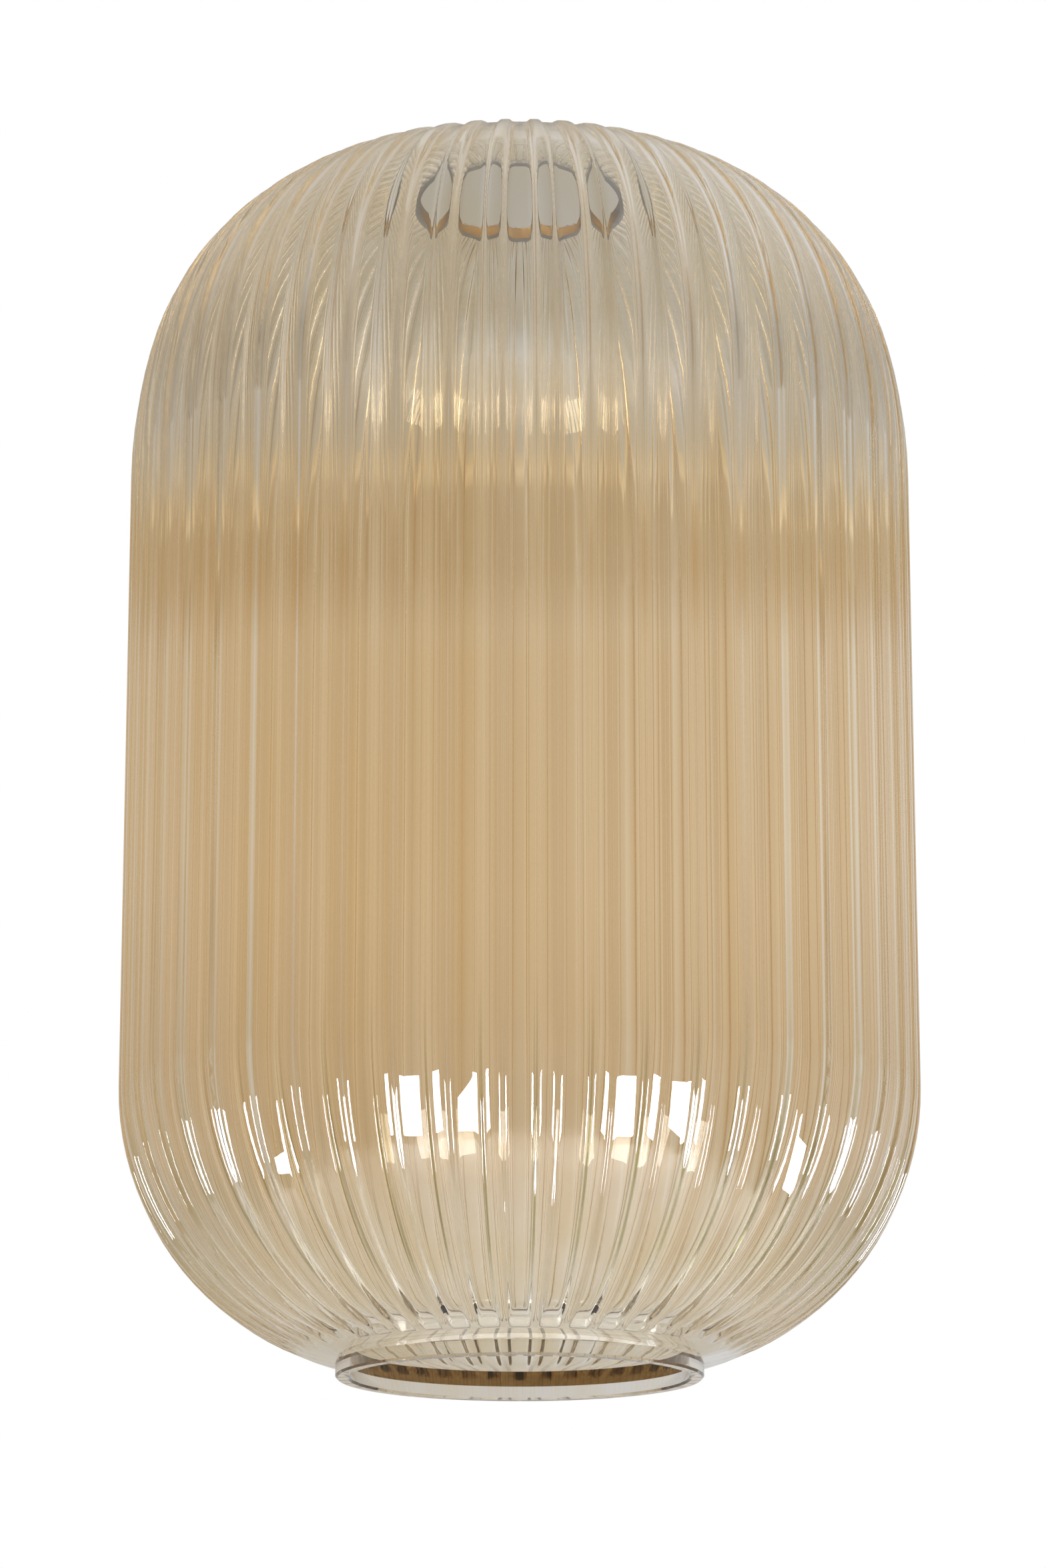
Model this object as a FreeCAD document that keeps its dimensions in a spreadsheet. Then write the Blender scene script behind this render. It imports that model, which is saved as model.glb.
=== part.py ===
import FreeCAD, Part

import math
import os

import Sketcher
from FreeCAD import Placement, Rotation, Vector

# Fluted glass lamp shade: one piece of glass, a capsule-shaped lantern with ribs all round its outside.
#
# A short cylindrical collar stands round the open lower mouth. A rounded shoulder leads from it up to the
# straight side, and a dome of two radii closes in to a small flat land with the fitter hole in it.
# The origin is the centre of the collar's end face and +Z runs up the shade's axis. Millimetres and degrees.

# The driving sizes: name of the cell, value, what it measures.
SIZES = (
    ("body_dia", 220.0, "outside diameter over the rib crests"),
    ("overall_height", 346.0, "collar's end face to the land at the top"),
    ("collar_dia", 100.0, "outside diameter of the collar, made for a 100 mm gallery"),
    ("collar_wall", 4.0, "glass thickness of the collar"),
    ("collar_height", 4.0, "straight outside wall of the collar"),
    ("shoulder_radius", 77.0, "outside radius of the lower shoulder's arc"),
    ("dome_height", 91.5, "from the end of the straight side up to the land"),
    ("knee_angle", 17.2, "angle the dome's lower arc turns through before the crown's arc takes over"),
    ("land_width", 2.5, "flat ring round the fitter hole"),
    ("hole_dia", 60.0, "fitter hole"),
    ("floor_wall", 2.8, "glass thickness at the floor of a flute"),
    ("rib_count", 48, "ribs round the shade"),
    ("rib_height", 1.8, "rib crest above the flute's floor on the side"),
    ("rim_rib_height", 0.7, "rib crest above the flute's floor at the fitter hole"),
    ("foot_rib_height", 0.8, "rib crest above the flute's floor where the lower shoulder faces down"),
    ("round_place", 0.15, "from a rib's crest to the end of its rounded top, as a share of the pitch"),
    ("round_depth", 0.24, "depth there, as a share of the rib height"),
    ("flank_place", 0.22, "from a rib's crest to the middle of its flank"),
    ("flank_depth", 0.60, "depth there"),
    ("root_place", 0.29, "from a rib's crest to its root"),
    ("root_depth", 0.91, "depth there"),
    ("floor_place", 0.35, "from a rib's crest to where the flute's floor is level"),
    ("band_width", 9.0, "smooth band beside the collar, measured square to the axis"),
    ("run_out", 7.0, "length over which a flute fades into the smooth band, measured square to the axis"),
    ("mouth_chamfer", 0.6, "polished chamfers on the collar's end"),
    ("hole_chamfer", 1.0, "polished chamfer on the fitter hole's upper edge"),
    ("overlap", 1.0, "how far one volume runs into the next"),
)
V = {name: value for name, value, _ in SIZES}

# Sizes that follow from the driving ones, as expressions of the sheet's cells.
SHOULDER_X = "(Sheet.body_dia / 2 - Sheet.shoulder_radius)"
SHOULDER_RISE = f"sqrt(Sheet.shoulder_radius ^ 2 - (Sheet.collar_dia / 2 - {SHOULDER_X}) ^ 2)"
SHOULDER_Z = f"(Sheet.collar_height + {SHOULDER_RISE})"
LAND_X = "(Sheet.hole_dia / 2 + Sheet.land_width)"
DOME_REACH = f"(Sheet.body_dia / 2 - {LAND_X})"
RADIUS_STEP = (
    f"((Sheet.dome_height - {DOME_REACH}) / (sin(Sheet.knee_angle) + cos(Sheet.knee_angle) - 1))"
)
CROWN_RADIUS = f"({DOME_REACH} - {RADIUS_STEP} * (1 - cos(Sheet.knee_angle)))"
DOME_RADIUS = f"({CROWN_RADIUS} + {RADIUS_STEP})"
CREST_WALL = "(Sheet.floor_wall + Sheet.rib_height)"
COLLAR_R = "(Sheet.collar_dia / 2)"
BORE_R = "(Sheet.collar_dia / 2 - Sheet.collar_wall)"
HOLE_R = "(Sheet.hole_dia / 2)"

START, END, CENTRE = 1, 2, 3

doc = FreeCAD.newDocument("fluted_glass_shade")


def fill_sheet():
    """One row to a size: its name, its value and what it measures."""
    sheet = doc.addObject("Spreadsheet::Sheet", "Sheet")
    for row, (name, value, meaning) in enumerate(SIZES, start=1):
        sheet.set(f"A{row}", name)
        sheet.set(f"B{row}", str(value))
        sheet.set(f"C{row}", meaning)
        sheet.setAlias(f"B{row}", name)
    doc.recompute()


def origin_feature(body, role):
    return next(feature for feature in body.Origin.OriginFeatures if feature.Role == role)


class MeridianSketch:
    """A closed outline in a plane through the axis. Its x is the distance from the axis, its y the height."""

    def __init__(self, body, name, turn="0"):
        self.sketch = body.newObject("Sketcher::SketchObject", name)
        self.sketch.AttachmentSupport = (origin_feature(body, "XZ_Plane"), [""])
        self.sketch.MapMode = "FlatFace"
        self.sketch.AttachmentOffset = Placement(Vector(0, 0, 0), Rotation(Vector(0, 1, 0), 1))
        self.sketch.setExpression(".AttachmentOffset.Rotation.Angle", turn)
        self.edges = []

    def line(self, start, end):
        self.edges.append(self.sketch.addGeometry(Part.LineSegment(Vector(*start, 0), Vector(*end, 0))))
        return self.edges[-1]

    def arc(self, centre, start, end):
        """An arc run anticlockwise from start to end."""
        angles = [math.atan2(point[1] - centre[1], point[0] - centre[0]) for point in (start, end)]
        circle = Part.Circle(Vector(*centre, 0), Vector(0, 0, 1), math.dist(centre, start))
        self.edges.append(self.sketch.addGeometry(Part.ArcOfCircle(circle, *angles)))
        return self.edges[-1]

    def rule(self, *terms):
        self.sketch.addConstraint(Sketcher.Constraint(*terms))

    def close(self, smooth=()):
        """Joins each edge's end to the next one's start. An edge in smooth runs on tangentially."""
        for edge, following in zip(self.edges, self.edges[1:] + self.edges[:1]):
            self.rule("Tangent" if edge in smooth else "Coincident", edge, END, following, START)

    def size(self, expression, *terms):
        """A dimension that reads the sheet. The last of terms is the value to begin with."""
        index = self.sketch.addConstraint(Sketcher.Constraint(*terms))
        self.sketch.setExpression(f"Constraints[{index}]", expression)

    def place(self, edge, end, x=None, y=None):
        """Holds a point of an edge at a distance from the axis, at a height, or both."""
        point = self.sketch.getPoint(edge, end)
        if x is not None:
            self.size(x, "DistanceX", -1, 1, edge, end, point.x)
        if y is not None:
            self.size(y, "DistanceY", -1, 1, edge, end, point.y)


def on_arc(centre, radius, x):
    """The point of an arc's lower half at a distance x from the axis."""
    return x, centre[1] - math.sqrt(radius ** 2 - (x - centre[0]) ** 2)


class Outside:
    """Numbers of one meridian of the outside. depth is its share of the rib's height under the crests."""

    def __init__(self, depth):
        self.drop = depth * V["rib_height"]
        self.radius = V["body_dia"] / 2 - self.drop
        self.top = V["overall_height"] - depth * V["rim_rib_height"]
        self.collar = V["collar_dia"] / 2
        self.bore = self.collar - V["collar_wall"]
        self.hole = V["hole_dia"] / 2
        self.land = self.hole + V["land_width"]
        shoulder_x = V["body_dia"] / 2 - V["shoulder_radius"]
        rise = math.sqrt(V["shoulder_radius"] ** 2 - (self.collar - shoulder_x) ** 2)
        self.shoulder = (shoulder_x, V["collar_height"] + rise)
        self.flute = (shoulder_x, self.shoulder[1] - depth * (V["rib_height"] - V["foot_rib_height"]))
        angle = math.radians(V["knee_angle"])
        reach = V["body_dia"] / 2 - self.land
        step = (V["dome_height"] - reach) / (math.sin(angle) + math.cos(angle) - 1)
        self.crown_radius = reach - step * (1 - math.cos(angle)) - self.drop
        self.dome_radius = self.crown_radius + step
        self.crown = (self.land, self.top - self.crown_radius)
        self.dome = (self.land - step * math.cos(angle), self.crown[1] - step * math.sin(angle))
        self.knee = (
            self.crown[0] + self.crown_radius * math.cos(angle),
            self.crown[1] + self.crown_radius * math.sin(angle),
        )

    def on_shoulder(self, x, inset=0.0):
        """The point of the lower shoulder's arc, or of one inset into it, at a distance x from the axis."""
        return on_arc(self.shoulder, V["shoulder_radius"] - inset, x)


def rib_section(body, name, turn, depth, depth_size):
    """One meridian of the outside, filled in towards the axis as far as a core that the cavity takes away.

    depth is how far this meridian lies under the crests as a share of the rib height, and depth_size is the
    same share as an expression of the sheet.
    """
    outside = Outside(depth)
    foot = outside.on_shoulder(outside.collar - V["overlap"])
    band_end = outside.on_shoulder(outside.collar + V["band_width"])
    flute_radius = V["shoulder_radius"] - outside.drop
    flute_end = on_arc(outside.flute, flute_radius, outside.collar + V["band_width"] + V["run_out"])
    side_foot = (outside.radius, outside.flute[1])
    side_head = (outside.radius, outside.dome[1])
    land_edge = (outside.land, outside.top)
    core = outside.hole / 2

    sketch = MeridianSketch(body, name, turn)
    base = sketch.line((core, foot[1]), foot)
    band = sketch.arc(outside.shoulder, foot, band_end)
    if depth:
        fade = sketch.line(band_end, flute_end)
    else:
        fade = sketch.arc(outside.shoulder, band_end, flute_end)
    shoulder = sketch.arc(outside.flute, flute_end, side_foot)
    side = sketch.line(side_foot, side_head)
    dome = sketch.arc(outside.dome, side_head, outside.knee)
    crown = sketch.arc(outside.crown, outside.knee, land_edge)
    land = sketch.line(land_edge, (core, outside.top))
    inner = sketch.line((core, outside.top), (core, foot[1]))

    sketch.close(smooth=(shoulder, side, dome, crown))
    sketch.rule("Horizontal", base)
    sketch.rule("Vertical", side)
    sketch.rule("Horizontal", land)
    sketch.rule("Vertical", inner)
    sketch.place(base, START, x=f"{HOLE_R} / 2")
    sketch.place(band, CENTRE, x=SHOULDER_X, y=SHOULDER_Z)
    sketch.place(band, START, x=f"{COLLAR_R} - Sheet.overlap")
    sketch.place(band, END, x=f"{COLLAR_R} + Sheet.band_width")
    sketch.place(fade, END, x=f"{COLLAR_R} + Sheet.band_width + Sheet.run_out")
    sketch.place(crown, END, x=LAND_X, y=f"Sheet.overall_height - {depth_size} * Sheet.rim_rib_height")
    drop_size = f"{depth_size} * Sheet.rib_height"
    sketch.size("Sheet.shoulder_radius", "Radius", band, V["shoulder_radius"])
    sketch.size(f"{CROWN_RADIUS} - {drop_size}", "Radius", crown, outside.crown_radius)
    sketch.size(f"{DOME_RADIUS} - {drop_size}", "Radius", dome, outside.dome_radius)
    if depth:
        flute_z = f"{SHOULDER_Z} - {depth_size} * (Sheet.rib_height - Sheet.foot_rib_height)"
        sketch.place(shoulder, CENTRE, y=flute_z)
        sketch.size(f"Sheet.shoulder_radius - {drop_size}", "Radius", shoulder, flute_radius)
    else:
        sketch.rule("Coincident", shoulder, CENTRE, band, CENTRE)
        sketch.rule("Coincident", fade, CENTRE, band, CENTRE)
    return sketch.sketch


def lofted_rib(body):
    """One rib with half a flute on either side of it, lofted through meridians from floor to floor.

    The flute's middle lies on +X, so the crest stands half a pitch round from it.
    """
    rising = (
        ("0.5", 1.0, "1"),
        ("(Sheet.floor_place + 0.5) / 2", 1.0, "1"),
        ("Sheet.floor_place", 1.0, "1"),
        ("Sheet.root_place", V["root_depth"], "Sheet.root_depth"),
        ("Sheet.flank_place", V["flank_depth"], "Sheet.flank_depth"),
        ("Sheet.round_place", V["round_depth"], "Sheet.round_depth"),
    )
    before = [(f"0.5 - {place}", depth, depth_size) for place, depth, depth_size in rising]
    after = [(f"0.5 + {place}", depth, depth_size) for place, depth, depth_size in reversed(rising)]
    stations = before + [("0.5", 0.0, "0")] + after
    sections = [
        rib_section(body, f"rib_section_{number}", f"360 / Sheet.rib_count * ({place})", depth, depth_size)
        for number, (place, depth, depth_size) in enumerate(stations, start=1)
    ]
    rib = body.newObject("PartDesign::AdditiveLoft", "rib")
    rib.Profile = sections[0]
    rib.Sections = sections[1:]
    doc.recompute()
    return rib


def ring_of_ribs(body, rib):
    """The rib repeated all round, which closes the outside of the shade."""
    ribs = body.newObject("PartDesign::PolarPattern", "ribs")
    ribs.Originals = [rib]
    ribs.Axis = (origin_feature(body, "Z_Axis"), [""])
    ribs.Angle = 360
    ribs.setExpression("Occurrences", "Sheet.rib_count")
    body.Tip = ribs
    doc.recompute()


def revolved(body, kind, name, sketch):
    feature = body.newObject(kind, name)
    feature.Profile = sketch
    feature.ReferenceAxis = (origin_feature(body, "Z_Axis"), [""])
    feature.Angle = 360
    doc.recompute()


def collar(body):
    """The plain collar round the mouth, run up into the smooth band above it."""
    outside = Outside(0)
    core = outside.hole / 2
    chamfer = V["mouth_chamfer"]
    head = V["collar_height"] + V["overlap"]
    corners = (
        (core, 0),
        (outside.collar - chamfer, 0),
        (outside.collar, chamfer),
        (outside.collar, head),
        (core, head),
    )
    outline = MeridianSketch(body, "collar_section")
    edges = [outline.line(start, end) for start, end in zip(corners, corners[1:] + corners[:1])]
    foot, _, wall, top, inner = edges
    outline.close()
    outline.rule("Horizontal", foot)
    outline.rule("Vertical", wall)
    outline.rule("Horizontal", top)
    outline.rule("Vertical", inner)
    outline.rule("PointOnObject", foot, START, -1)
    outline.place(foot, START, x=f"{HOLE_R} / 2")
    outline.place(foot, END, x=f"{COLLAR_R} - Sheet.mouth_chamfer")
    outline.place(wall, START, x=COLLAR_R, y="Sheet.mouth_chamfer")
    outline.place(wall, END, y="Sheet.collar_height + Sheet.overlap")
    revolved(body, "PartDesign::Revolution", "collar", outline.sketch)


def cavity(body):
    """The smooth inside: the outside's own arcs moved in by the wall, open at the mouth and at the hole."""
    outside = Outside(0)
    wall = V["floor_wall"] + V["rib_height"]
    reach = V["overlap"] + V["mouth_chamfer"]
    lift = V["overlap"] + V["hole_chamfer"]
    radius = outside.radius - wall
    neck = outside.on_shoulder(outside.bore, wall)
    angle = math.radians(V["knee_angle"])
    knee = (outside.knee[0] - wall * math.cos(angle), outside.knee[1] - wall * math.sin(angle))
    ceiling = outside.top - wall
    below = -V["overlap"]
    above = outside.top + V["overlap"]

    outline = MeridianSketch(body, "cavity_section")
    under = outline.line((0, below), (outside.bore + reach, below))
    outline.line((outside.bore + reach, below), (outside.bore, V["mouth_chamfer"]))
    bore = outline.line((outside.bore, V["mouth_chamfer"]), neck)
    shoulder = outline.arc(outside.shoulder, neck, (radius, outside.shoulder[1]))
    side = outline.line((radius, outside.shoulder[1]), (radius, outside.dome[1]))
    dome = outline.arc(outside.dome, (radius, outside.dome[1]), knee)
    crown = outline.arc(outside.crown, knee, (outside.land, ceiling))
    shelf = outline.line((outside.land, ceiling), (outside.hole, ceiling))
    hole = outline.line((outside.hole, ceiling), (outside.hole, outside.top - V["hole_chamfer"]))
    flare = outline.line((outside.hole, outside.top - V["hole_chamfer"]), (outside.hole + lift, above))
    over = outline.line((outside.hole + lift, above), (0, above))
    axis = outline.line((0, above), (0, below))

    outline.close(smooth=(shoulder, side, dome, crown))
    for level in (under, shelf, over):
        outline.rule("Horizontal", level)
    for upright in (bore, side, hole):
        outline.rule("Vertical", upright)
    outline.rule("PointOnObject", axis, START, -2)
    outline.rule("PointOnObject", axis, END, -2)
    outline.place(under, END, x=f"{BORE_R} + Sheet.mouth_chamfer + Sheet.overlap", y="-Sheet.overlap")
    outline.place(bore, START, x=BORE_R, y="Sheet.mouth_chamfer")
    outline.place(shoulder, CENTRE, x=SHOULDER_X, y=SHOULDER_Z)
    outline.place(crown, END, x=LAND_X, y=f"Sheet.overall_height - {CREST_WALL}")
    outline.place(hole, END, x=HOLE_R, y="Sheet.overall_height - Sheet.hole_chamfer")
    outline.place(
        flare, END,
        x=f"{HOLE_R} + Sheet.hole_chamfer + Sheet.overlap",
        y="Sheet.overall_height + Sheet.overlap",
    )
    outline.size(f"Sheet.shoulder_radius - {CREST_WALL}", "Radius", shoulder, V["shoulder_radius"] - wall)
    outline.size(f"{CROWN_RADIUS} - {CREST_WALL}", "Radius", crown, outside.crown_radius - wall)
    outline.size(f"{DOME_RADIUS} - {CREST_WALL}", "Radius", dome, outside.dome_radius - wall)
    revolved(body, "PartDesign::Groove", "cavity", outline.sketch)


def glass_shade():
    body = doc.addObject("PartDesign::Body", "glass_shade")
    body.Label = "glass_shade"
    ring_of_ribs(body, lofted_rib(body))
    collar(body)
    before = body.Shape.Volume
    cavity(body)
    if not 0 < body.Shape.Volume < before / 4:
        raise SystemExit("the cavity didn't hollow the shade")
    return body


def check(part):
    """Stops the build on anything that failed to compute."""
    for thing in doc.Objects:
        if {"Invalid", "Error"} & set(thing.State):
            raise SystemExit(f"{thing.Name} is {thing.State}")
    shape = part.Shape
    if shape.isNull() or not shape.isValid() or len(shape.Solids) != 1:
        raise SystemExit(f"{part.Label} isn't one valid solid")


fill_sheet()
part = glass_shade()
check(part)
os.makedirs("parts", exist_ok=True)
part.Shape.exportStep(f"parts/{part.Label}.step")
print(part.Label, round(part.Shape.Volume), "mm3", part.Shape.BoundBox)
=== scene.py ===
import math

import bpy
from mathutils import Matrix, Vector


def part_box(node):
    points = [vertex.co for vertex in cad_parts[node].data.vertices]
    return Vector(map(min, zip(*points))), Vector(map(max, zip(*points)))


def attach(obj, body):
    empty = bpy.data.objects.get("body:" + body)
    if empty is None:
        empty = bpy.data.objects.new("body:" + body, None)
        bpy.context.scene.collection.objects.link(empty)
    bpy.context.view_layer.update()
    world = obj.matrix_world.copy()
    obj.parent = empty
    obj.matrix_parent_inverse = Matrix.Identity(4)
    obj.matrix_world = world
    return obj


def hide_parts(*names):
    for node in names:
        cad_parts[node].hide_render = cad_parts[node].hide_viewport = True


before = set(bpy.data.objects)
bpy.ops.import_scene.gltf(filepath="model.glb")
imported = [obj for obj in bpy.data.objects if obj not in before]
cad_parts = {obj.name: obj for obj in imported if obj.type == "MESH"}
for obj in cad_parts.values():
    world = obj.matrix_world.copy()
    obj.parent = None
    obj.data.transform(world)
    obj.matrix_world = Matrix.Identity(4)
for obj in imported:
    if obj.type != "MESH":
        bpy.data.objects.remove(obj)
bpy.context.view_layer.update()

# ---------------------------------------------------------------- the glass shade
# One piece of clear soda-lime glass, blown into a fluted mould: a capsule with 48 outside ribs and a smooth
# inside. A plain collar is cut and polished round the open mouth, and a fitter hole is cut in the crown.
# A thin amber lustre is fired on, which warms all but the collar.

MM = 0.001
shade_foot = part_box("glass_shade")[0][2]
shade_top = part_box("glass_shade")[1][2]

body_radius = 110 * MM
collar_radius = 50 * MM
collar_bore = 46 * MM
collar_height = 4 * MM
mouth_chamfer = 0.6 * MM
band_end = 59 * MM
flute_start = 66 * MM
shoulder_radius = 77 * MM
dome_height = 91.5 * MM
knee_angle = math.radians(17.2)
hole_radius = 30 * MM
land_radius = 32.5 * MM
hole_chamfer = 1.0 * MM
crest_wall = 4.6 * MM
rib_height = 1.8 * MM
rim_rib_height = 0.7 * MM
foot_rib_height = 0.8 * MM
rib_count = 48
rib_pitch = 2 * math.pi / rib_count
front = -math.pi / 2

# A rib's cross-section: how far round from the crest in pitches, and how deep in rib heights.
rib_profile = (
    (0.0, 0.0), (0.09, 0.03), (0.13, 0.09), (0.158, 0.22), (0.19, 0.5), (0.222, 0.78), (0.25, 0.91),
    (0.29, 0.975), (0.36, 1.0), (0.5, 1.0),
)

# The centres of the shoulder's one arc and of the dome's two, which meet in a smooth knee.
shoulder_x = body_radius - shoulder_radius
shoulder_rise = math.sqrt(shoulder_radius ** 2 - (collar_radius - shoulder_x) ** 2)
shoulder_z = shade_foot + collar_height + shoulder_rise
dome_reach = body_radius - land_radius
radius_step = (dome_height - dome_reach) / (math.sin(knee_angle) + math.cos(knee_angle) - 1)
crown_radius = dome_reach - radius_step * (1 - math.cos(knee_angle))
dome_radius = crown_radius + radius_step
dome_x = body_radius - dome_radius

# How many rows each part of the wall's section has. The dome's two arcs are given from the side up.
band_rows = 4
run_out_rows = 3
shoulder_rows = 18
inner_shoulder_rows = 14
side_rows = 2
dome_rows = (6, 18)
inner_dome_rows = (4, 12)

# Points this near are one, and an edge this sharp stays crisp.
row_weld = 0.01 * MM
rib_weld = 0.02 * MM
sharp_edge = math.radians(40)


class MeridianPen:
    """Draws the wall's section in one plane through the axis, by extruding and spinning its last vertex."""

    def __init__(self, turn, x, z):
        self.outward = Vector((math.cos(turn), math.sin(turn), 0))
        self.spin_axis = Vector((-math.sin(turn), math.cos(turn), 0))
        self.at = (x, z)
        bpy.ops.mesh.select_all(action="DESELECT")
        bpy.ops.mesh.primitive_plane_add(size=MM, location=self.place(x, z))
        bpy.ops.mesh.merge(type="CENTER")

    def place(self, x, z):
        return self.outward * x + Vector((0, 0, z))

    def line(self, x, z, rows=1):
        step = (self.place(x, z) - self.place(*self.at)) / rows
        for _ in range(rows):
            bpy.ops.mesh.extrude_region_move(TRANSFORM_OT_translate={"value": step})
        self.at = (x, z)

    def arc(self, centre_x, centre_z, x, z, rows):
        """A turn about a centre from where the pen is to x, z, which lies on the same circle."""
        start = math.atan2(self.at[1] - centre_z, self.at[0] - centre_x)
        angle = math.atan2(z - centre_z, x - centre_x) - start
        bpy.ops.mesh.spin(
            steps=rows, angle=angle, center=self.place(centre_x, centre_z), axis=self.spin_axis, dupli=False
        )
        self.at = (x, z)


def draw_meridian(turn, depth):
    """The wall's section from the collar's foot up the outside, through the hole and down the inside."""
    drop = depth * rib_height
    land_z = shade_top - depth * rim_rib_height
    flute_z = shoulder_z - depth * (rib_height - foot_rib_height)

    def on_shoulder(x, inset, centre_z=shoulder_z):
        return centre_z - math.sqrt((shoulder_radius - inset) ** 2 - (x - shoulder_x) ** 2)

    def dome(crown_z, inset, rows, downward):
        """The two arcs between the side and the land, either way."""
        dome_z = crown_z - radius_step * math.sin(knee_angle)
        knee = (
            land_radius + (crown_radius - inset) * math.cos(knee_angle),
            crown_z + (crown_radius - inset) * math.sin(knee_angle),
        )
        if downward:
            pen.arc(land_radius, crown_z, *knee, rows[1])
            pen.arc(dome_x, dome_z, body_radius - inset, dome_z, rows[0])
        else:
            pen.line(body_radius - inset, dome_z, side_rows)
            pen.arc(dome_x, dome_z, *knee, rows[0])
            pen.arc(land_radius, crown_z, land_radius, crown_z + crown_radius - inset, rows[1])

    pen = MeridianPen(turn, collar_radius - mouth_chamfer, shade_foot)
    pen.line(collar_radius, shade_foot + mouth_chamfer)
    pen.line(collar_radius, shade_foot + collar_height)
    pen.arc(shoulder_x, shoulder_z, band_end, on_shoulder(band_end, 0), band_rows)
    pen.line(flute_start, on_shoulder(flute_start, drop, flute_z), run_out_rows)
    pen.arc(shoulder_x, flute_z, body_radius - drop, flute_z, shoulder_rows)
    dome(land_z - (crown_radius - drop), drop, dome_rows, downward=False)
    pen.line(hole_radius + hole_chamfer - depth * rim_rib_height, land_z)
    pen.line(hole_radius, shade_top - hole_chamfer)
    pen.line(hole_radius, shade_top - crest_wall)
    pen.line(land_radius, shade_top - crest_wall)
    dome(shade_top - crown_radius, crest_wall, inner_dome_rows, downward=True)
    pen.line(body_radius - crest_wall, shoulder_z, side_rows)
    pen.arc(shoulder_x, shoulder_z, collar_bore, on_shoulder(collar_bore, crest_wall), inner_shoulder_rows)
    pen.line(collar_bore, shade_foot + mouth_chamfer)
    pen.line(collar_bore + mouth_chamfer, shade_foot)
    pen.line(collar_radius - mouth_chamfer, shade_foot)


# One rib from floor to floor: its meridians are drawn one by one, and the skin is bridged between them.
bpy.ops.object.select_all(action="DESELECT")
bpy.ops.mesh.primitive_plane_add(size=MM, location=(0, 0, 0))
shade = bpy.context.object
shade.name = "fluted_shade"
bpy.ops.object.mode_set(mode="EDIT")
bpy.ops.mesh.delete(type="VERT")
bpy.ops.mesh.select_mode(type="VERT")
meridians = [(0.5 - place, depth) for place, depth in reversed(rib_profile)]
meridians += [(0.5 + place, depth) for place, depth in rib_profile[1:]]
for place, depth in meridians:
    draw_meridian(front + rib_pitch * place, depth)
bpy.ops.mesh.select_all(action="SELECT")
bpy.ops.mesh.remove_doubles(threshold=row_weld)
bpy.ops.mesh.select_all(action="SELECT")
bpy.ops.mesh.bridge_edge_loops(type="SINGLE")
bpy.ops.object.mode_set(mode="OBJECT")

# The rib is repeated round the axis, and each joins the next along the middle of a flute.
bpy.ops.object.empty_add(location=(0, 0, 0), rotation=(0, 0, rib_pitch))
next_rib = bpy.context.object
bpy.ops.object.select_all(action="DESELECT")
shade.select_set(True)
bpy.context.view_layer.objects.active = shade
ring = shade.modifiers.new("ring_of_ribs", "ARRAY")
ring.count = rib_count
ring.use_relative_offset = False
ring.use_object_offset = True
ring.offset_object = next_rib
bpy.ops.object.modifier_apply(modifier=ring.name)
bpy.data.objects.remove(next_rib)
bpy.ops.object.mode_set(mode="EDIT")
bpy.ops.mesh.select_all(action="SELECT")
bpy.ops.mesh.remove_doubles(threshold=rib_weld)
bpy.ops.mesh.select_all(action="SELECT")
bpy.ops.mesh.normals_make_consistent(inside=False)
bpy.ops.object.mode_set(mode="OBJECT")
bpy.ops.object.shade_smooth_by_angle(angle=sharp_edge)

# Its material is clear soda-lime glass with the lustre fired on, which gives a warm, slightly uneven tint,
# with painted shade and painted highlight lines along the flanks of each rib.
# The polished collar has no lustre, so it is clear.


def linear(hex_colour):
    """An sRGB hex value as the linear RGBA that a shader takes."""
    channels = [int(hex_colour[i:i + 2], 16) / 255 for i in (1, 3, 5)]
    return [c / 12.92 if c <= 0.04045 else ((c + 0.055) / 1.055) ** 2.4 for c in channels] + [1.0]


def add_node(tree, kind, inputs=None, stops=(), **settings):
    """Adds a node with its settings and colour stops, and links or sets each of its inputs."""
    node = tree.nodes.new(kind)
    for name, value in settings.items():
        setattr(node, name, value)
    for name, value in (inputs or {}).items():
        if isinstance(value, bpy.types.NodeSocket):
            tree.links.new(value, node.inputs[name])
        else:
            node.inputs[name].default_value = value
    for _ in stops[2:]:
        node.color_ramp.elements.new(1.0)
    for place, (position, colour) in enumerate(stops):
        node.color_ramp.elements[place].position = position
        node.color_ramp.elements[place].color = linear(colour)
    return node


lustre = bpy.data.materials.new("amber_lustre_glass")
lustre.use_nodes = True
tree = lustre.node_tree
glass = tree.nodes["Principled BSDF"]
glass.inputs["IOR"].default_value = 1.5
glass.inputs["Transmission Weight"].default_value = 1.0
where = add_node(tree, "ShaderNodeTexCoord").outputs["Object"]
xyz = add_node(tree, "ShaderNodeSeparateXYZ", {"Vector": where})

# The lustre's strength up the shade: none on the polished collar, faint on the lower shoulder, full on the
# side and gone again on the dome. Stops are at millimetres above the foot, out of the ramps' span.
span = 360
height = add_node(
    tree, "ShaderNodeMapRange",
    {"Value": xyz.outputs["Z"], "From Min": shade_foot, "From Max": shade_foot + span * MM},
).outputs["Result"]
coat = add_node(tree, "ShaderNodeValToRGB", {"Fac": height}, stops=(
    (4 / span, "#fafaf9"), (6 / span, "#faf8f2"), (20 / span, "#faf4e8"), (75 / span, "#f7ead4"),
    (232 / span, "#f6e9d3"), (262 / span, "#f8f5f0"), (1.0, "#faf9f6"),
))

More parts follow.
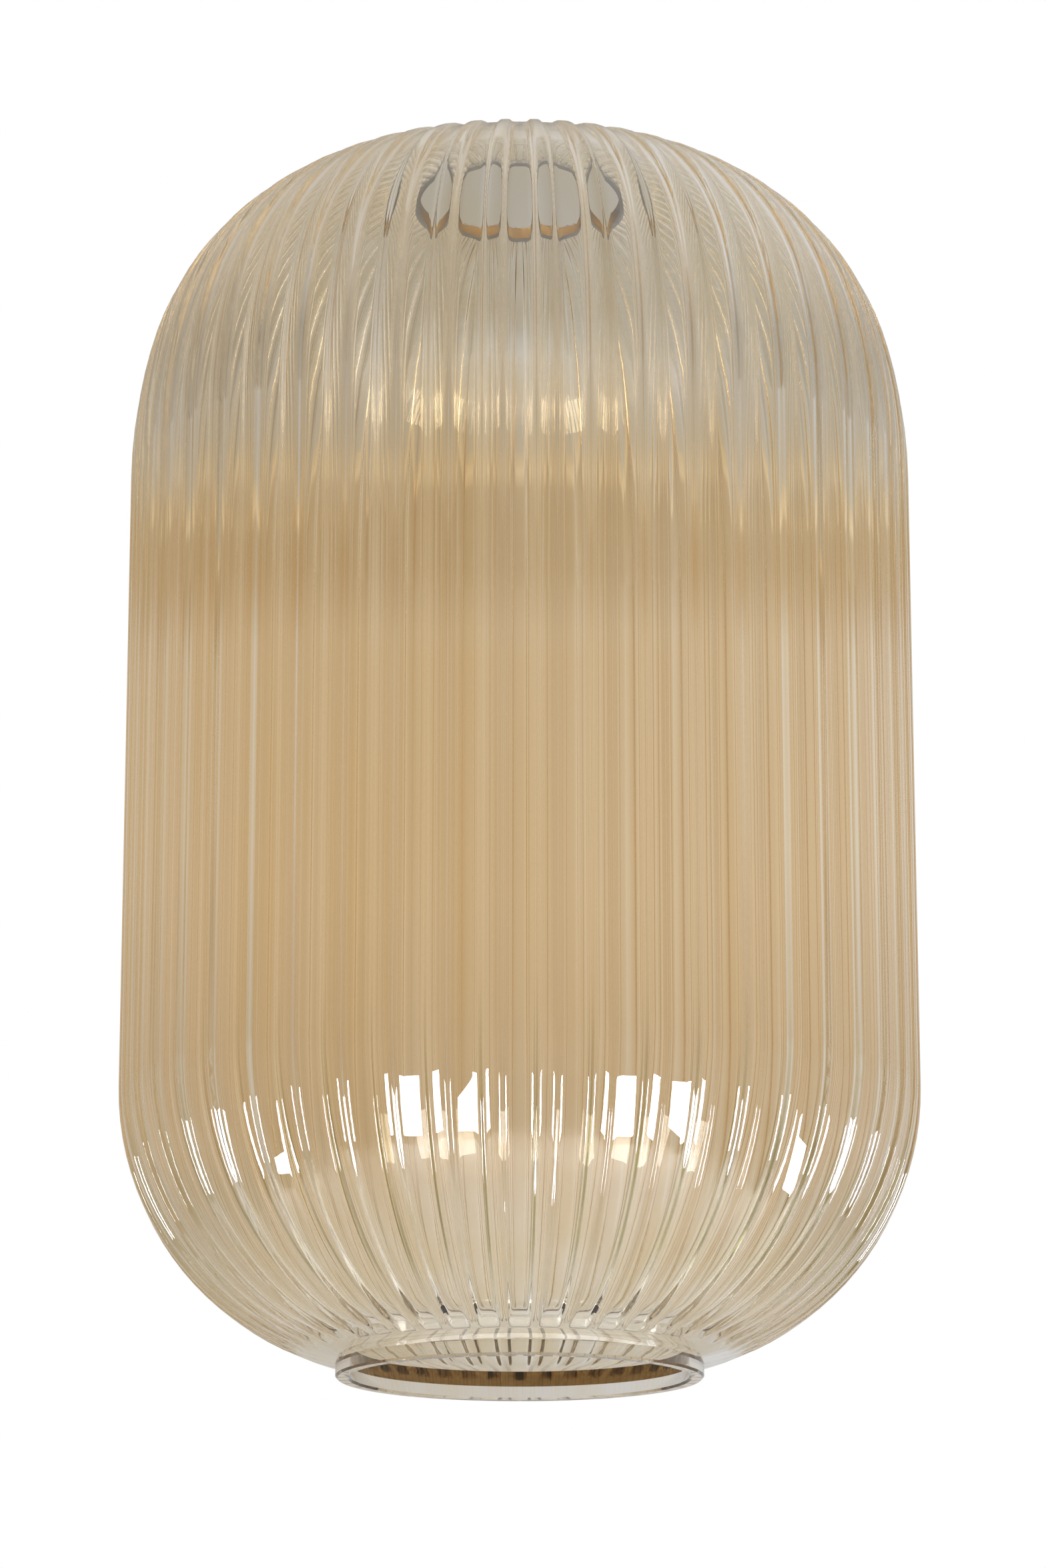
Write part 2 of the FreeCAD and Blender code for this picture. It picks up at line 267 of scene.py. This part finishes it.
# It is uneven: long soft streaks up the shade, about a rib wide.
streak_width = 12 * MM
streak_length = 160 * MM
streak_map = add_node(tree, "ShaderNodeMapping", {
    "Vector": where, "Scale": (1 / streak_width, 1 / streak_width, 1 / streak_length),
})
streaks = add_node(
    tree, "ShaderNodeTexNoise", {"Vector": streak_map.outputs["Vector"], "Scale": 1.0, "Detail": 0.6}
)
streak_tone = add_node(
    tree, "ShaderNodeValToRGB", {"Fac": streaks.outputs["Fac"]},
    stops=((0.35, "#ffffff"), (0.65, "#fcf8ee")),
)
streaked = add_node(
    tree, "ShaderNodeMix", {0: 1.0, 6: coat.outputs["Color"], 7: streak_tone.outputs["Color"]},
    data_type="RGBA", blend_type="MULTIPLY",
)

# Painted shade: a fine dark line along one flank of each rib, brown on the side and dome, and olive and
# wider on the lower shoulder, where the ribs' refraction darkens the glass. Painted highlight: a pale line
# along the other flank, where the bright room shows. Their places and widths are in rib pitches round from
# a crest.
shade_line_place = 0.308
shade_line_core = 0.012
shade_line_reach = 0.016
shade_line_shoulder_reach = 0.046
turn_round = add_node(
    tree, "ShaderNodeMath", {0: xyz.outputs["Y"], 1: xyz.outputs["X"]}, operation="ARCTAN2"
)
from_front = add_node(tree, "ShaderNodeMath", {0: turn_round.outputs[0], 1: front}, operation="SUBTRACT")
pitches = add_node(tree, "ShaderNodeMath", {0: from_front.outputs[0], 1: rib_pitch}, operation="DIVIDE")
across = add_node(tree, "ShaderNodeMath", {0: pitches.outputs[0]}, operation="FRACT")
painted_shade_reach = add_node(tree, "ShaderNodeMapRange", {
    "Value": height, "From Min": 95 / span, "From Max": 25 / span,
    "To Min": shade_line_reach, "To Max": shade_line_shoulder_reach,
})
past_shade_line = add_node(tree, "ShaderNodeMath", {0: across.outputs[0], 1: shade_line_place}, operation="SUBTRACT")
off_shade_line = add_node(tree, "ShaderNodeMath", {0: past_shade_line.outputs[0]}, operation="ABSOLUTE")
# The dark flank line is painted shade.
painted_shade_line = add_node(tree, "ShaderNodeMapRange", {
    "Value": off_shade_line.outputs[0], "From Min": painted_shade_reach.outputs["Result"], "From Max": shade_line_core,
})
# The pale flank line is a painted highlight.
painted_highlight_line = add_node(tree, "ShaderNodeValToRGB", {"Fac": across.outputs[0]}, stops=(
    (0.676, "#000000"), (0.686, "#ffffff"), (0.700, "#ffffff"), (0.710, "#000000"),
))
# The colour of the painted shade line, going up the shade.
painted_shade_tone = add_node(tree, "ShaderNodeValToRGB", {"Fac": height}, stops=(
    (10 / span, "#faf4e8"), (24 / span, "#8f8848"), (50 / span, "#a3985c"), (90 / span, "#f2dfbe"),
    (245 / span, "#eed9b6"), (265 / span, "#dcbd9c"), (1.0, "#e0cdb8"),
))
shade_lined = add_node(
    tree, "ShaderNodeMix",
    {0: painted_shade_line.outputs["Result"], 6: streaked.outputs[2], 7: painted_shade_tone.outputs["Color"]},
    data_type="RGBA",
)
# The painted highlight line is laid over the tint last.
tint = add_node(
    tree, "ShaderNodeMix",
    {0: painted_highlight_line.outputs["Color"], 6: shade_lined.outputs[2], 7: linear("#fdfcfa")}, data_type="RGBA",
)

# The fitter hole and the land round it are left ground, so they are frosted. A darker grey is also painted
# on them as painted shade that darkens the hole's rim. The rest is fire-polished.
polished_roughness = 0.01
ground_roughness = 0.45
in_plan = add_node(tree, "ShaderNodeVectorMath", {0: where, 1: (1, 1, 0)}, operation="MULTIPLY")
from_axis = add_node(tree, "ShaderNodeVectorMath", {0: in_plan.outputs["Vector"]}, operation="LENGTH")
ground_and_shaded_rim = add_node(tree, "ShaderNodeMapRange", {
    "Value": from_axis.outputs["Value"],
    "From Min": land_radius + 0.6 * MM,
    "From Max": land_radius + 0.1 * MM,
})
# The darker grey on the rim is painted shade; the frost comes from the roughness below.
rim_shaded_tint = add_node(
    tree, "ShaderNodeMix",
    {0: ground_and_shaded_rim.outputs["Result"], 6: tint.outputs[2], 7: linear("#8a8e99")}, data_type="RGBA",
)
tree.links.new(rim_shaded_tint.outputs[2], glass.inputs["Base Color"])
frost = add_node(
    tree, "ShaderNodeMath",
    {0: ground_and_shaded_rim.outputs["Result"], 1: ground_roughness - polished_roughness, 2: polished_roughness},
    operation="MULTIPLY_ADD",
)
tree.links.new(frost.outputs[0], glass.inputs["Roughness"])

# The glass itself is faintly olive, which shows where it is seen edge on, as along the ribs and the rims.
body_of_glass = add_node(tree, "ShaderNodeVolumeAbsorption", {"Color": linear("#e4cd8c"), "Density": 8.0})
tree.links.new(body_of_glass.outputs["Volume"], tree.nodes["Material Output"].inputs["Volume"])
shade.data.materials.clear()
shade.data.materials.append(lustre)

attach(shade, "root")
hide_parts("glass_shade")

# ---------------------------------------------------------------- the studio
# The shade hangs over a plain pale floor in a pale room. Two soft boxes stand low in front, a narrow one on
# each side, and two weak ones lower down.

floor_drop = 0.95
floor_side = 9
bpy.ops.object.select_all(action="DESELECT")
bpy.ops.mesh.primitive_plane_add(size=floor_side, location=(0, 0, shade_foot - floor_drop))
floor = bpy.context.object
floor.name = "studio_floor"
bpy.ops.object.transform_apply(location=True)
paint = bpy.data.materials.new("matt_white_floor")
paint.use_nodes = True
paint.node_tree.nodes["Principled BSDF"].inputs["Base Color"].default_value = linear("#f2f1ef")
paint.node_tree.nodes["Principled BSDF"].inputs["Roughness"].default_value = 0.9
floor.data.materials.append(paint)

# The room that the glass shows: its tones go by how far up a ray looks and are a little warmer to the left.
# The camera itself sees a plain white backdrop.
room = bpy.data.worlds.new("pale_room")
bpy.context.scene.world = room
room.use_nodes = True
room_light = room.node_tree.nodes["Background"]
direction = add_node(room.node_tree, "ShaderNodeTexCoord")
toward = add_node(room.node_tree, "ShaderNodeSeparateXYZ", {"Vector": direction.outputs["Generated"]})
wall_tone = add_node(room.node_tree, "ShaderNodeValToRGB", {"Fac": toward.outputs["Z"]}, stops=(
    (0.11, "#d9dadd"), (0.16, "#d3d0cd"), (0.22, "#e2e0de"), (0.280, "#e1dfdd"), (0.297, "#cdc2b0"),
    (0.312, "#c9bda9"), (0.316, "#efe5d3"), (0.320, "#e6dbc6"), (0.325, "#cccdce"), (0.356, "#cccdd0"),
    (0.364, "#bab8b3"), (0.50, "#b0aeaa"), (0.70, "#dddcdb"),
))
side_tone = add_node(room.node_tree, "ShaderNodeMapRange", {
    "Value": toward.outputs["X"], "From Min": -0.07, "From Max": 0.13,
})
side_light = add_node(
    room.node_tree, "ShaderNodeMix",
    {0: side_tone.outputs["Result"], 6: linear("#efe8dc"), 7: linear("#ffffff")}, data_type="RGBA",
)
room_tone = add_node(
    room.node_tree, "ShaderNodeMix", {0: 1.0, 6: wall_tone.outputs["Color"], 7: side_light.outputs[2]},
    data_type="RGBA", blend_type="MULTIPLY",
)
room.node_tree.links.new(room_tone.outputs[2], room_light.inputs["Color"])
backdrop = add_node(room.node_tree, "ShaderNodeBackground", {"Color": (1, 1, 1, 1)})
seen = add_node(room.node_tree, "ShaderNodeLightPath")
room_mix = add_node(room.node_tree, "ShaderNodeMixShader", {
    0: seen.outputs["Is Camera Ray"], 1: room_light.outputs[0], 2: backdrop.outputs[0],
})
room.node_tree.links.new(room_mix.outputs[0], room.node_tree.nodes["World Output"].inputs["Surface"])

# The lamps are not seen themselves: they light the floor and are mirrored in the glass.
aim = Vector((0, 0, shade_foot + 60 * MM))


def soft_box(name, azimuth, elevation, distance, wide, high, watts):
    """A rectangular lamp facing the shade. Azimuth 0 is straight in front, and elevation 0 is level."""
    bpy.ops.object.light_add(type="AREA")
    lamp = bpy.context.object
    lamp.name = name
    lamp.data.shape = "RECTANGLE"
    lamp.data.size = wide
    lamp.data.size_y = high
    lamp.data.energy = watts
    lamp.data.color = linear("#f6f9ff")[:3]
    side, up = math.radians(azimuth), math.radians(elevation)
    away = Vector((math.sin(side) * math.cos(up), -math.cos(side) * math.cos(up), math.sin(up)))
    lamp.location = aim + away * distance
    lamp.rotation_euler = away.to_track_quat("Z", "Y").to_euler()
    lamp.visible_camera = False
    lamp.visible_transmission = False
    return lamp


soft_box("soft_box_left", -24, -21, 1.7, 0.5, 0.68, 46)
soft_box("soft_box_right", 38, -21, 1.7, 0.55, 0.68, 50)
soft_box("side_box_left", -84, -20, 1.7, 0.2, 0.68, 16)
soft_box("side_box_right", 96, -20, 1.7, 0.2, 0.68, 16)

# Two low boxes whose light is only seen through the glass, mirrored in the inside of the dome.
for name, azimuth in (("low_box_left", -24), ("low_box_right", 38)):
    low_box = soft_box(name, azimuth, -34, 1.2, 0.34, 0.4, 4.5)
    low_box.visible_transmission = True
    low_box.visible_glossy = False

# The camera stands low in front and looks a little upwards.
camera_distance = 1.3074
camera_drop = 0.1671
camera_pitch = math.radians(14.16)
camera_data = bpy.data.cameras.new("camera")
camera = bpy.data.objects.new("camera", camera_data)
bpy.context.collection.objects.link(camera)
camera.location = (0, -camera_distance, -camera_drop)
camera.rotation_euler = (math.pi / 2 + camera_pitch, 0, 0)
camera_data.sensor_fit = "VERTICAL"
camera_data.sensor_height = 36
camera_data.lens = 110.84
camera_data.shift_x = 0.0021
camera_data.shift_y = 0.0080
bpy.context.scene.camera = camera
bpy.context.scene.view_settings.view_transform = "Standard"

# Light passes many faces of the glass, so it may bounce more than usual.
bounces = 40
bpy.context.scene.cycles.max_bounces = bounces
bpy.context.scene.cycles.transmission_bounces = bounces
bpy.context.scene.cycles.glossy_bounces = bounces
